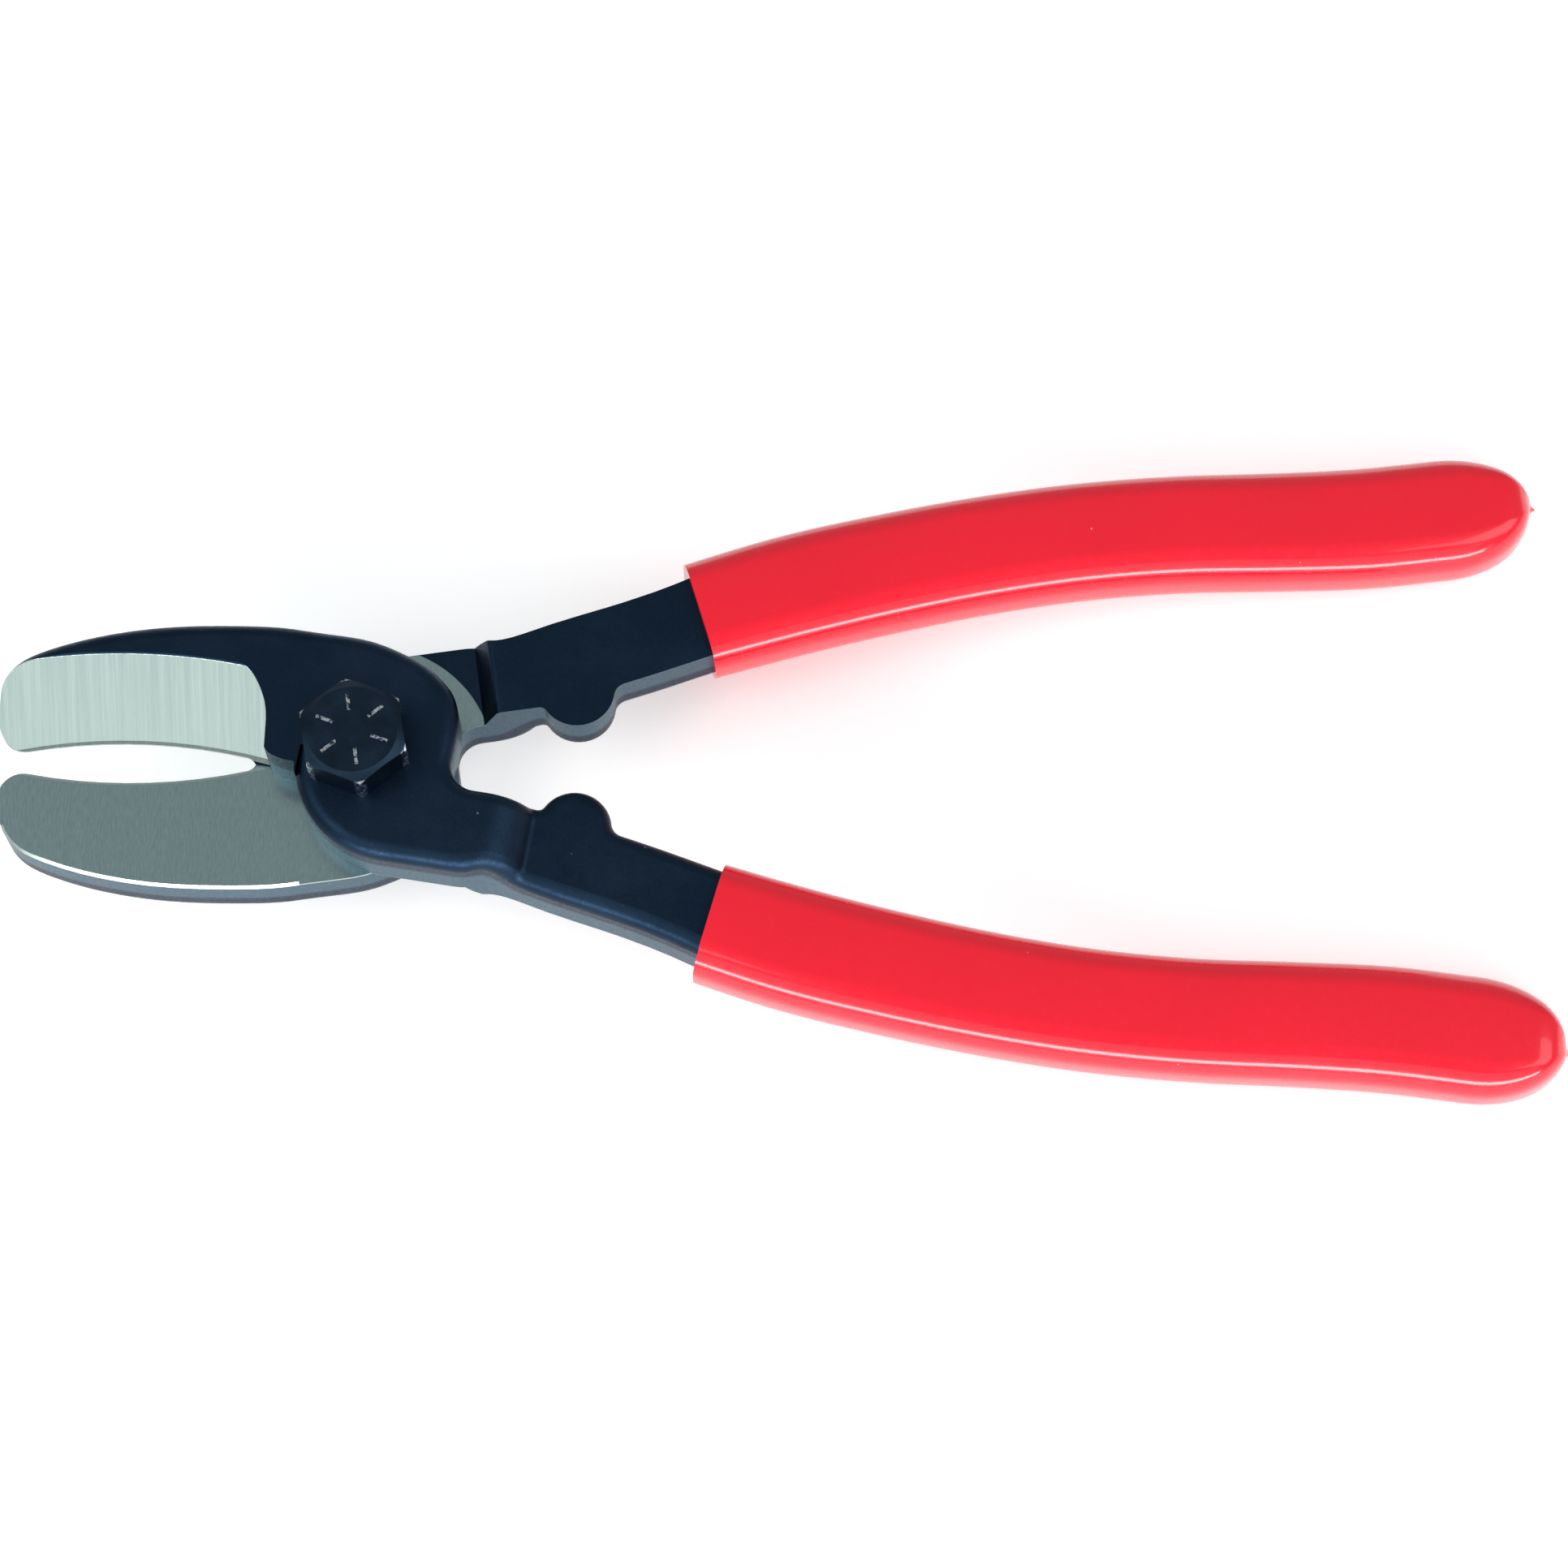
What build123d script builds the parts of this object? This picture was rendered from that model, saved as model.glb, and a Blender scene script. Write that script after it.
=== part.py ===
"""Shear-type cable cutter, about 228 mm long: two identical crossed levers on one bolt.

Both levers come from one forging. It is drawn once, closed, with the tool's centreline
along X, and used twice: the rear lever is the front one turned half a turn about X.

Row frame: the origin is on the pivot axis, in the plane where the two levers meet.
+X runs along the centreline towards the handles, +Y is across the tool, and +Z points
along the bolt towards its head. The rest pose is the tool lying part open.
"""

import os
from math import atan2, cos, degrees, radians, sin, sqrt

from build123d import *

# --- driving dimensions, mm and degrees ---------------------------------------------

THICK = 8.5                 # lever thickness, the same in the jaw, the hub and the shank
FACE_GAP = 0.025            # each mating face is ground this far back from the meeting plane
REST_HALF_ANGLE = 8.75      # each lever is turned this far from closed in the rest pose

HUB_R = 16.0                # round of the hub behind the bolt
TIP_X = -52.9               # end of the jaws
TIP_CORNER_R = 3.6
EDGE_R = 78.0               # the cutting edge is one hollow arc
EDGE_CENTRE = (-22.4, -79.36)
BEVEL_WIDTH = 11.2          # across the ground bevel, in plan
BEVEL_LAND = 0.4            # the edge's own small flat
FACE_CHAMFER = 0.4          # honed chamfer on the mating face, along the jaw's back
OUTSIDE_ROUND = 2.2         # round on the rim of the outside face

STEP_X = 18.4               # the mating face steps down to the shank here
STEP_RUN = 2.2
SHOULDER_X = 19.6           # the outside face starts to fall here
CREASE_X = 26.6             # and meets the shank's flat here

BACK_TOP_X = -10.9          # the jaw's back runs level for a short way each side of here
BACK_LEVEL = 1.5
SWELL_CENTRE = (6.4, -1.25)  # round swell of the hub on the jaw's cutting side
SWELL_R = 14.95
STOP_CENTRE = (32.1, -5.42)  # stop bump, which meets its twin on the centreline
STOP_R = 5.4
SHANK_OUTER = [(28.4, -16.1), (38.3, -17.9), (48.2, -20.0), (59.0, -23.0)]
SHANK_INNER = [(37.9, -5.3), (43.4, -6.3), (51.9, -8.0)]
PLAN_CORNERS = [((27.4, -3.65), 1.2), (SHANK_INNER[0], 2.2)]   # rounded in plan
TANG_HALF = 6.2             # half width of the tang inside the grip

# Grip stations: centreline x and y, and half width.
GRIP_STATIONS = [
    (47.0, -14.7, 8.5),
    (65.2, -17.6, 8.9),
    (80.0, -19.1, 8.85),
    (95.0, -20.0, 8.75),
    (109.5, -20.1, 8.7),
    (124.2, -19.2, 8.7),
    (138.6, -17.5, 8.8),
    (151.5, -16.2, 8.95),
    (163.5, -15.8, 8.95),
]
GRIP_END = 13.3             # the grip's end is half an ellipse this long
GRIP_THICK = 11.1
GRIP_ROUND = 4.4
FRONT_MOUTH = ((55.6, -3.0), (52.7, -28.0))   # edge of the dip, inner side to outer side
REAR_MOUTH = ((53.6, -3.0), (50.0, -28.0))

BOLT_R = 25.4 * 3 / 8 / 2   # 3/8 inch hexagon bolt
BOLT_LENGTH = 25.4 * 1.125
BORE_CLEARANCE = 0.04       # radial, in both levers
HEX_FLATS = 25.4 * 9 / 16   # across flats, bolt head and nut
HEAD_HEIGHT = 5.95
HEAD_TURN = -20.0           # one corner of the head points this way
HEAD_CHAMFER_R = 6.5        # flat circle left on top of the head
GRADE_MARKS = 6             # radial strength marks, one towards each corner
MARK_START, MARK_END, MARK_WIDE, MARK_HIGH = 2.9, 5.5, 0.5, 0.18

WASHER_R = 10.3
WASHER_THICK = 1.6
NUT_HEIGHT = 5.6            # steel hexagon of the thin lock nut
COLLAR_R = 6.3              # turned collar that holds the insert
COLLAR_HEIGHT = 2.1
INSERT_R = 5.6
INSERT_HEIGHT = 1.6


def polar(radius, angle):
    """Point at a radius and an angle in degrees."""
    return (radius * cos(radians(angle)), radius * sin(radians(angle)))


def edge_y(x):
    """Height of the cutting edge's arc at x."""
    return EDGE_CENTRE[1] + sqrt(EDGE_R**2 - (x - EDGE_CENTRE[0]) ** 2)


def side_points(stations, side, half=None):
    """Points beside the grip centreline, at each station's half width or at one half width."""
    spine = Spline(*[(x, y) for x, y, _ in stations])
    points = []
    for x, y, own_half in stations:
        along = spine.tangent_at(spine.param_at_point((x, y, 0)))
        reach = own_half if half is None else half
        points.append((x - side * along.Y * reach, y + side * along.X * reach))
    return points


# --- the forging --------------------------------------------------------------------


def forging_outline(blank):
    """Plan outline of one lever when closed, run round from the jaw's tip.

    The blank has a straight jaw where the finished lever has its heel and cutting edge.
    """
    hub_start = polar(HUB_R, 71)
    hub_end = polar(HUB_R, 44)
    crotch_r = 3.9
    crotch = (17.7, 0.25)
    crotch_in = (crotch[0] - crotch_r, crotch[1])
    crotch_mid = (crotch[0] - crotch_r * sin(radians(45)), crotch[1] - crotch_r * sin(radians(45)))
    crotch_out = (crotch[0], crotch[1] - crotch_r)
    stop_in = (27.4, crotch_out[1])
    tang = [s for s in GRIP_STATIONS if s[0] > 70]
    tang_upper = side_points(tang, 1, TANG_HALF)
    tang_lower = side_points(tang, -1, TANG_HALF)
    tang_way = (tang_upper[-1][1] - tang_lower[-1][1], tang_lower[-1][0] - tang_upper[-1][0])
    tang_tip = (tang[-1][0] + tang_way[0] / 2, tang[-1][1] + tang_way[1] / 2)
    swell, swell_r = SWELL_CENTRE, SWELL_R
    swell_low = (swell[0], swell[1] - swell_r)
    root_out = (16.6, swell_low[1])
    swell_mid = (swell[0] + swell_r * cos(radians(230)), swell[1] + swell_r * sin(radians(230)))
    swell_high = (-8.3, swell[1] - sqrt(swell_r**2 - (8.3 + swell[0]) ** 2))
    heel_out = (-12.9, -2.45)
    heel_in = (-15.2, -2.45)
    edge_in = (-16.6, edge_y(-16.6))
    edge_out = (TIP_X, edge_y(TIP_X))

    hub_tangent = (sin(radians(71)), -cos(radians(71)))
    throat_tangent = (sin(radians(44)), -cos(radians(44)))
    tip_top = (TIP_X, 0.2)
    back_in = (BACK_TOP_X - BACK_LEVEL, 16.9)
    back_out = (BACK_TOP_X + BACK_LEVEL, 16.9)
    shared = [
        Spline(
            tip_top, (-51.3, 4.8), (-47.2, 8.0), (-38.5, 11.95), (-29.3, 14.6),
            (-20.1, 16.2), back_in,
            tangents=[(0, 1), (1, 0)], tangent_scalars=[1, 1],
        ),
        Line(back_in, back_out),
        Spline(back_out, (-0.9, 16.75), hub_start, tangents=[(1, 0), hub_tangent]),
        ThreePointArc(hub_start, polar(HUB_R, 58), hub_end),
        Spline(hub_end, (13.55, 6.6), crotch_in, tangents=[throat_tangent, (0, -1)]),
        ThreePointArc(crotch_in, crotch_mid, crotch_out),
        Line(crotch_out, stop_in),
        ThreePointArc(stop_in, (STOP_CENTRE[0], STOP_CENTRE[1] + STOP_R), SHANK_INNER[0]),
        Spline(*SHANK_INNER, *tang_upper, tangents=[(1, -0.19), tang_way]),
        ThreePointArc(tang_upper[-1], tang_tip, tang_lower[-1]),
        Spline(
            *reversed(tang_lower), *reversed(SHANK_OUTER), (20.9, -15.2), root_out,
            tangents=[(-tang_way[0], -tang_way[1]), (-1, 0)],
        ),
        Line(root_out, swell_low),
        ThreePointArc(swell_low, swell_mid, swell_high),
    ]
    if blank:
        swell_side = (swell[0] - swell_r, swell[1])
        tip_low = (TIP_X, swell[1])
        return shared[:-1] + [
            ThreePointArc(swell_low, swell_mid, swell_side),
            Line(swell_side, tip_low),
            Line(tip_low, tip_top),
        ]
    return shared + [
        Spline(swell_high, (-11.3, -3.6), heel_out, tangents=[(-1, 0), (-0.4, 1)]),
        Line(heel_out, heel_in),
        ThreePointArc(heel_in, (-15.75, -1.9), edge_in),
        ThreePointArc(edge_in, (EDGE_CENTRE[0] - 10, edge_y(EDGE_CENTRE[0] - 10)), edge_out),
        Line(edge_out, tip_top),
    ]


def corner_near(face, point):
    """The face's corner nearest to a point."""
    return face.vertices().sort_by_distance(point)[0]


def side_profile():
    """Side view of the lever: the flat hub and jaw, the joggle, and the shank half way down."""
    low = -THICK / 2
    rise = THICK - THICK / 2
    run = CREASE_X - SHOULDER_X
    radius = (run**2 + rise**2) / (2 * rise)
    mid_x = SHOULDER_X + run * 0.55
    mid_z = THICK - radius + sqrt(radius**2 - (mid_x - SHOULDER_X) ** 2)
    edges = [
        Line((-60, FACE_GAP), (STEP_X, FACE_GAP)),
        Line((STEP_X, FACE_GAP), (STEP_X + STEP_RUN, low)),
        Line((STEP_X + STEP_RUN, low), (190, low)),
        Line((190, low), (190, THICK / 2)),
        Line((190, THICK / 2), (CREASE_X, THICK / 2)),
        ThreePointArc((CREASE_X, THICK / 2), (mid_x, mid_z), (SHOULDER_X, THICK)),
        Line((SHOULDER_X, THICK), (-60, THICK)),
        Line((-60, THICK), (-60, FACE_GAP)),
    ]
    face = make_face(edges)
    face = fillet(corner_near(face, (CREASE_X, THICK / 2)), 1.2)
    face = fillet(corner_near(face, (STEP_X + STEP_RUN, low)), 1.0)
    return face


def bevel_cutter():
    """What the wheel takes off the outside face: a cone concentric with the hollow edge."""
    slope = THICK / BEVEL_WIDTH
    over = 4.0
    section = Plane.XZ * Polygon(
        (EDGE_R - 6, BEVEL_LAND),
        (EDGE_R + BEVEL_LAND / slope, BEVEL_LAND),
        (EDGE_R + BEVEL_WIDTH + over, THICK + over * slope),
        (EDGE_R - 6, THICK + over * slope),
        align=None,
    )
    cone = Pos(EDGE_CENTRE[0], EDGE_CENTRE[1]) * revolve(section, Axis.Z)
    reach = make_face([
        Line((-60, -14), (-60, 24)),
        Line((-60, 24), (-24, 24)),
        Line((-24, 24), (-21.5, 10.2)),
        Spline((-21.5, 10.2), (-17.6, 9.1), (-14.7, 5.2), (-13.6, 1.8),
               tangents=[(1, 0), (0.2, -1)]),
        Line((-13.6, 1.8), (-11.4, -14)),
        Line((-11.4, -14), (-60, -14)),
    ])
    return cone & extrude(reach, THICK * 2)


def lever_prism(blank, corners):
    """The lever's plan, its listed corners rounded, right through all its levels."""
    plan = make_face(forging_outline(blank))
    for corner, radius in corners:
        plan = fillet(corner_near(plan, corner), radius)
    return Pos(0, 0, -THICK) * extrude(plan, 3 * THICK)


def rim(solid, test):
    """Edges round the lever whose ends and middle all pass a test on their height."""
    chosen = []
    for edge in solid.edges():
        heights = [(edge @ t).Z for t in (0, 0.5, 1)]
        across = abs((edge @ 0).X - (edge @ 1).X) < 0.02 and abs((edge @ 0).Y) < 30
        straight_across = across and abs((edge @ 0.5).X - (edge @ 0).X) < 0.02
        if all(test(h) for h in heights) and not (straight_across and (edge @ 0).X > STEP_X):
            chosen.append(edge)
    return chosen


def slab(low, high):
    """A tall block between two plan corners."""
    mid = ((low[0] + high[0]) / 2, (low[1] + high[1]) / 2)
    return Pos(*mid, 0) * Box(high[0] - low[0], high[1] - low[1], 6 * THICK)


def rounded_blank():
    """The blank with the rim of its outside face rounded, made in three stretches."""
    profile = extrude(Plane.XZ * side_profile(), 60, both=True)
    blank = lever_prism(True, PLAN_CORNERS) & profile
    far = 60
    swell_level = SWELL_CENTRE[1]
    swell_x = SWELL_CENTRE[0]
    stretches = [
        slab((BACK_TOP_X, swell_level), (200, far)) + slab((swell_x, -far), (200, swell_level)),
        slab((-far, swell_level), (BACK_TOP_X, far)),
        slab((-far, -far), (swell_x, swell_level)),
    ]

    def on_cut(edge):
        middle = edge @ 0.5
        level = middle.Y < swell_level + 0.01
        return (
            abs(middle.X - BACK_TOP_X) < 0.01
            or abs(middle.Y - swell_level) < 0.01 and middle.X < swell_x + 0.01
            or abs(middle.X - swell_x) < 0.01 and level
        )

    whole = Part()
    for stretch in stretches:
        piece = (blank & stretch).solid()
        outside = [e for e in rim(piece, lambda z: z > THICK / 2 - 0.02) if not on_cut(e)]
        piece = piece.fillet(OUTSIDE_ROUND, outside)
        mating = rim(piece, lambda z: abs(z - FACE_GAP) < 0.01)
        honed = [e for e in mating if e.length > 40 and (e @ 0.5).X < BACK_TOP_X]
        if honed:
            piece = piece.chamfer(FACE_CHAMFER, None, honed)
        whole += piece
    return whole


def forge_lever():
    """One lever, closed pose, mating face down, with its ground bevel and its bore."""
    full = lever_prism(False, PLAN_CORNERS + [((TIP_X, edge_y(TIP_X)), TIP_CORNER_R)])
    working = full & slab((-60, -30), (-7.9, 1.5)) & Pos(0, 0, FACE_GAP) * Box(
        200, 100, THICK - FACE_GAP, align=(Align.CENTER, Align.CENTER, Align.MIN)
    )
    lever = rounded_blank() + working - bevel_cutter()
    return lever - Cylinder(BOLT_R + BORE_CLEARANCE, 4 * THICK)


# --- grips --------------------------------------------------------------------------


def dipped_grip(lever, mouth):
    """Grip in the closed pose: a rounded sleeve round the tang, cut square at the dip's edge."""
    upper = side_points(GRIP_STATIONS, 1)
    lower = side_points(GRIP_STATIONS, -1)
    last = GRIP_STATIONS[-1]
    way = (upper[-1][1] - lower[-1][1], lower[-1][0] - upper[-1][0])
    end = EllipticalCenterArc(
        last[:2], GRIP_END, last[2], start_angle=-90, arc_size=180,
        rotation=degrees(atan2(way[1], way[0])),
    )
    plan = make_face([
        Spline(*upper, tangents=[(1, -0.1), way]),
        end,
        Spline(*reversed(lower), tangents=[(-way[0], -way[1]), (-1, 0.1)]),
        Line(lower[0], upper[0]),
    ])
    sleeve = extrude(plan, GRIP_THICK / 2, both=True).solid()
    long_edges = [
        e for e in sleeve.edges()
        if abs(abs((e @ 0.5).Z) - GRIP_THICK / 2) < 0.01 and (e @ 0.5).X > 50
    ]
    sleeve = sleeve.fillet(GRIP_ROUND, long_edges)
    (inner_x, inner_y), (outer_x, outer_y) = mouth
    removed = extrude(
        Polygon((inner_x, inner_y), (outer_x, outer_y), (30, outer_y), (30, inner_y), align=None),
        GRIP_THICK, both=True,
    )
    return sleeve - removed - lever


# --- pivot hardware -----------------------------------------------------------------


def hexagon(height, chamfer_r, turn):
    """Hexagon standing on z = 0, its upper corners turned off to a circle at 30 degrees."""
    corner_r = HEX_FLATS / 2 / cos(radians(30))
    body = extrude(Rot(0, 0, turn) * RegularPolygon(corner_r, 6), height)
    drop = (corner_r + 1 - chamfer_r) * sin(radians(30)) / cos(radians(30))
    envelope = Polygon(
        (0, 0), (corner_r + 1, 0), (corner_r + 1, height - drop), (chamfer_r, height), (0, height),
        align=None,
    )
    return body & revolve(Plane.XZ * envelope, Axis.Z)


def pivot_bolt():
    """Hexagon bolt, head on the front lever, with raised strength marks on its head."""
    head = hexagon(HEAD_HEIGHT, HEAD_CHAMFER_R, HEAD_TURN)
    for number in range(GRADE_MARKS):
        mark = Pos((MARK_START + MARK_END) / 2, 0, HEAD_HEIGHT) * Box(
            MARK_END - MARK_START, MARK_WIDE, 2 * MARK_HIGH
        )
        head += Rot(0, 0, HEAD_TURN + number * 360 / GRADE_MARKS) * mark
    shank = Cylinder(BOLT_R, BOLT_LENGTH, align=(Align.CENTER, Align.CENTER, Align.MAX))
    end = shank.faces().sort_by(Axis.Z)[0]
    shank = chamfer(end.edges(), 0.8)
    return Pos(0, 0, THICK) * (head + shank)


def washer():
    ring = Cylinder(WASHER_R, WASHER_THICK) - Cylinder(BOLT_R + 0.25, WASHER_THICK)
    return Pos(0, 0, -THICK - WASHER_THICK / 2) * ring


def lock_nut():
    """Thin lock nut below the washer: a hexagon with a turned collar round its insert."""
    hexed = Rot(180, 0, 0) * hexagon(NUT_HEIGHT, HEX_FLATS / 2 - 0.3, 8.0)
    collar = Cylinder(COLLAR_R, COLLAR_HEIGHT, align=(Align.CENTER, Align.CENTER, Align.MAX))
    body = hexed + Pos(0, 0, -NUT_HEIGHT) * collar
    body -= Cylinder(BOLT_R + 0.02, 40)
    seat_z = -NUT_HEIGHT - (COLLAR_HEIGHT - INSERT_HEIGHT) / 2
    seat = Cylinder(INSERT_R, INSERT_HEIGHT, align=(Align.CENTER, Align.CENTER, Align.MAX))
    body -= Pos(0, 0, seat_z) * seat
    mouth = Cylinder(INSERT_R - 0.5, 2, align=(Align.CENTER, Align.CENTER, Align.MAX))
    body -= Pos(0, 0, seat_z) * mouth
    insert = Pos(0, 0, seat_z) * (seat - Cylinder(BOLT_R + 0.02, 40))
    down = Pos(0, 0, -THICK - WASHER_THICK)
    return down * body, down * insert


def turn_over(shape):
    """The same piece on the other side of the meeting plane."""
    return Rot(180, 0, 0) * shape


def main():
    os.makedirs("parts", exist_ok=True)
    lever = forge_lever()
    front = Rot(0, 0, -REST_HALF_ANGLE)
    rear = Rot(0, 0, REST_HALF_ANGLE)
    nut, insert = lock_nut()
    parts = {
        "front_lever": front * lever,
        "rear_lever": rear * turn_over(lever),
        "front_grip": front * dipped_grip(lever, FRONT_MOUTH),
        "rear_grip": rear * turn_over(dipped_grip(lever, REAR_MOUTH)),
        "pivot_bolt": pivot_bolt(),
        "pivot_washer": washer(),
        "lock_nut": nut,
        "lock_nut_insert": insert,
    }
    for name, shape in parts.items():
        export_step(shape, f"parts/{name}.step")


if __name__ == "__main__":
    main()
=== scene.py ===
"""Shear-type cable cutter: two crossed forged levers on one bolt, with dipped vinyl grips.

Everything is in metres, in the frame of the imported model: the origin is on the pivot, +X runs
to the handles and +Z runs up the bolt towards its head. Sizes in this file are in millimetres
and are turned to metres by MM.
"""

from __future__ import annotations

import logging
import math
from collections.abc import Callable
from dataclasses import dataclass
from enum import Enum

import bmesh
import bpy
from mathutils import Matrix, Vector

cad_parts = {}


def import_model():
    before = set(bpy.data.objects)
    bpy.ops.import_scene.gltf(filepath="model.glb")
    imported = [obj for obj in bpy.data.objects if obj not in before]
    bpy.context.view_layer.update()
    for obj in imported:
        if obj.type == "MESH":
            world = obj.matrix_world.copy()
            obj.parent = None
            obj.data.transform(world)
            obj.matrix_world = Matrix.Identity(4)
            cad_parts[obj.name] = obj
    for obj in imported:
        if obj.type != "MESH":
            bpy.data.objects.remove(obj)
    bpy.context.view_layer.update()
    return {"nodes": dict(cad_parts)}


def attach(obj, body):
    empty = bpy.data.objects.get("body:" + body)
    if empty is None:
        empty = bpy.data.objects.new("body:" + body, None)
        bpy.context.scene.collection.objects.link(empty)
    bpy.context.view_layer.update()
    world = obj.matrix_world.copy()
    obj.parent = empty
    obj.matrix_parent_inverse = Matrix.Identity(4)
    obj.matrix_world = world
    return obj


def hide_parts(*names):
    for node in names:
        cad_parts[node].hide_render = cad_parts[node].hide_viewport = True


MM = 0.001
TO_MM = 1 / MM
LOG = logging.getLogger("cable_cutter")


class Side(Enum):
    """Which of the two identical levers a piece belongs to."""

    FRONT = "front"
    REAR = "rear"

    @property
    def flip(self) -> float:
        """1 for the front lever, -1 for the rear one, which is turned over about X."""
        return 1.0 if self is Side.FRONT else -1.0


@dataclass(frozen=True)
class Forging:
    """Sizes of the forging that the finishes need, mm and degrees, in its closed pose."""

    rest_half_angle: float = 8.75
    thick: float = 8.5
    face_gap: float = 0.025
    edge_centre: tuple[float, float] = (-22.4, -79.36)
    edge_r: float = 78.0
    bevel_width: float = 11.2
    bevel_end_x: float = -12.4
    shoulder_x: float = 19.6
    crease_x: float = 26.6
    ground_reach: float = 19.0


# --- helpers ------------------------------------------------------------------------


def linear(colour: str) -> tuple[float, float, float, float]:
    """Turn an sRGB hex colour into linear RGBA.

    Args:
        colour: six hex digits after a hash sign.

    Returns:
        Red, green, blue and an alpha of 1, as Blender's sockets take them.
    """
    channels = [int(colour[i : i + 2], 16) / 255 for i in (1, 3, 5)]
    light = [c / 12.92 if c <= 0.04045 else ((c + 0.055) / 1.055) ** 2.4 for c in channels]
    return (light[0], light[1], light[2], 1.0)


def add_node(
    tree: bpy.types.NodeTree,
    kind: str,
    settings: dict[str, object] | None = None,
    inputs: dict[str | int, object] | None = None,
) -> bpy.types.Node:
    """Add one node with its settings, its constant inputs and its links.

    Args:
        tree: node tree that gets the node.
        kind: Blender's name of the node type.
        settings: properties of the node, by name.
        inputs: values or output sockets for the node's inputs, by name or number.

    Returns:
        The new node.
    """
    node = tree.nodes.new(kind)
    for name, value in (settings or {}).items():
        setattr(node, name, value)
    for key, value in (inputs or {}).items():
        if isinstance(value, bpy.types.NodeSocket):
            tree.links.new(value, node.inputs[key])
        else:
            node.inputs[key].default_value = value
    return node


def start_material(name: str) -> tuple[bpy.types.Material, bpy.types.NodeTree, bpy.types.Node]:
    """Make an empty node material with a Principled shader on its output.

    Args:
        name: material name.

    Returns:
        The material, its node tree and the shader node.
    """
    material = bpy.data.materials.new(name)
    material.use_nodes = True
    tree = material.node_tree
    tree.nodes.clear()
    shader = add_node(tree, "ShaderNodeBsdfPrincipled")
    add_node(tree, "ShaderNodeOutputMaterial", inputs={"Surface": shader.outputs[0]})
    return material, tree, shader


def dress(piece: bpy.types.Object, material: bpy.types.Material) -> None:
    """Give a piece one material in place of whatever it had.

    Args:
        piece: mesh object.
        material: the finish.
    """
    if not piece.data.materials:
        piece.data.materials.append(material)
    for index in range(len(piece.data.materials)):
        piece.data.materials[index] = material


def deselect_all() -> None:
    """Leave nothing selected, so that the next operator acts on its own piece only."""
    if bpy.context.object and bpy.context.object.mode != "OBJECT":
        bpy.ops.object.mode_set(mode="OBJECT")
    bpy.ops.object.select_all(action="DESELECT")


def select_faces(
    piece: bpy.types.Object, wanted: Callable[[bmesh.types.BMFace], bool]
) -> None:
    """Select in edit mode the faces that pass a test, and nothing else.

    Args:
        piece: the object in edit mode.
        wanted: a test that is given each of its faces.
    """
    bpy.ops.mesh.select_mode(type="FACE")
    bpy.ops.mesh.select_all(action="DESELECT")
    mesh = bmesh.from_edit_mesh(piece.data)
    for face in mesh.faces:
        if wanted(face):
            face.select_set(True)
    mesh.select_flush_mode()
    bmesh.update_edit_mesh(piece.data)


def finish_piece(name: str, smooth_angle: float) -> bpy.types.Object:
    """Close the modelling of the active piece: outward normals, its place applied, smoothed.

    Args:
        name: name of the piece.
        smooth_angle: edges that turn less than this many degrees are shaded smooth.

    Returns:
        The finished object, at the origin, unturned and unscaled.
    """
    piece = bpy.context.object
    if piece.mode != "EDIT":
        bpy.ops.object.mode_set(mode="EDIT")
    bpy.ops.mesh.select_all(action="SELECT")
    bpy.ops.mesh.remove_doubles(threshold=0.002 * MM)
    bpy.ops.mesh.normals_make_consistent(inside=False)
    bpy.ops.object.mode_set(mode="OBJECT")
    bpy.ops.object.transform_apply(location=True, rotation=True, scale=True)
    bpy.ops.object.shade_smooth_by_angle(angle=math.radians(smooth_angle))
    piece.name = name
    piece.data.name = name
    return piece


# --- finishes -----------------------------------------------------------------------


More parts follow.
